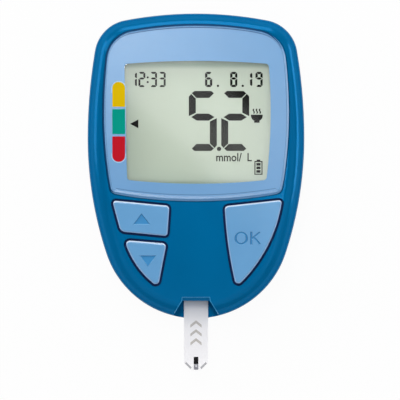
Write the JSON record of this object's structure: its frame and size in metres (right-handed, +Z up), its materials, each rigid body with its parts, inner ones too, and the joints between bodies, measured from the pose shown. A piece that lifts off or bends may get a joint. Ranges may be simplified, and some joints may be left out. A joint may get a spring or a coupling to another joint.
{
  "type": "blood glucose meter",
  "caption": "Handheld blood glucose meter with a framed segment display, three keys, a sliding battery door and a test strip in its port.",
  "frame": {"origin": "on the resting plane, under the centre of the case", "axes": "+X to the right of the display, +Y towards the display end, +Z up out of the display"},
  "size_m": [0.0562, 0.0924, 0.0189],
  "materials": {
    "shell_blue": "satin moulded",
    "panel_blue": "glossy printed panel",
    "key_blue": "satin moulded",
    "clear_window": "clear polished acrylic",
    "foam_black": "matt adhesive foam",
    "lcd_face": "grey-green polariser film",
    "lcd_glass": "clear glass",
    "lcd_mirror": "diffuse reflector film",
    "holder_white": "matt moulded",
    "zebra_rubber": "layered rubber",
    "board_green": "solder mask",
    "chip_black": "moulded package",
    "housing_black": "moulded",
    "tinned_metal": "tinned sheet",
    "contact_gold": "gold flashed",
    "spring_steel": "bright spring steel",
    "cell_steel": "bright nickel plate",
    "seal_plastic": "natural nylon",
    "screw_steel": "zinc plated",
    "label_silver": "blank matt label",
    "pad_foam": "soft foam",
    "strip_white": "white film",
    "reagent_black": "dry reagent",
    "electrode_carbon": "printed carbon"
  },
  "bodies": {
    "case": {"front_shell": "shell_blue", "rear_shell": "shell_blue", "display_bezel": "panel_blue", "display_window": "clear_window", "window_adhesive": "foam_black", "lcd_polariser": "lcd_face", "lcd_front_glass": "lcd_glass", "lcd_rear_glass": "lcd_glass", "lcd_reflector": "lcd_mirror", "lcd_holder": "holder_white", "zebra_strip": "zebra_rubber", "circuit_board": "board_green", "processor": "chip_black", "memory_chip": "chip_black", "radio_module": "board_green", "radio_shield": "tinned_metal", "crystal": "tinned_metal", "board_components": "chip_black", "sounder": "housing_black", "strip_connector": "housing_black", "strip_contacts": "contact_gold", "negative_contacts": "spring_steel", "positive_contacts": "spring_steel", "left_cell_can": "cell_steel", "left_cell_cap": "cell_steel", "left_cell_seal": "seal_plastic", "right_cell_can": "cell_steel", "right_cell_cap": "cell_steel", "right_cell_seal": "seal_plastic", "rear_label": "label_silver", "case_screws": "screw_steel", "board_screws": "screw_steel", "up_dome": "spring_steel", "down_dome": "spring_steel", "ok_dome": "spring_steel"},
    "up_key": {"up_key": "key_blue"},
    "down_key": {"down_key": "key_blue"},
    "ok_key": {"ok_key": "key_blue"},
    "battery_door": {"battery_door": "shell_blue", "door_pad": "pad_foam"},
    "test_strip": {"strip_base": "strip_white", "strip_spacer": "strip_white", "strip_cover": "strip_white", "strip_reagent": "reagent_black", "strip_electrodes": "electrode_carbon"}
  },
  "joints": [
    {"name": "up_press", "type": "slide", "parent": "case", "child": "up_key", "axis": [0, 0, -1], "range_m": [0, 0.0004], "stiffness_N_per_m": 4000, "deforming": ["up_dome"]},
    {"name": "down_press", "type": "slide", "parent": "case", "child": "down_key", "axis": [0, 0, -1], "range_m": [0, 0.0004], "stiffness_N_per_m": 4000, "deforming": ["down_dome"]},
    {"name": "ok_press", "type": "slide", "parent": "case", "child": "ok_key", "axis": [0, 0, -1], "range_m": [0, 0.0004], "stiffness_N_per_m": 4000, "deforming": ["ok_dome"]},
    {"name": "battery_door_slide", "type": "slide", "parent": "case", "child": "battery_door", "axis": [0, 1, 0], "range_m": [0, 0.034]},
    {"name": "test_strip_slide", "type": "slide", "parent": "case", "child": "test_strip", "axis": [0, -1, 0], "range_m": [0, 0.012]}
  ]
}
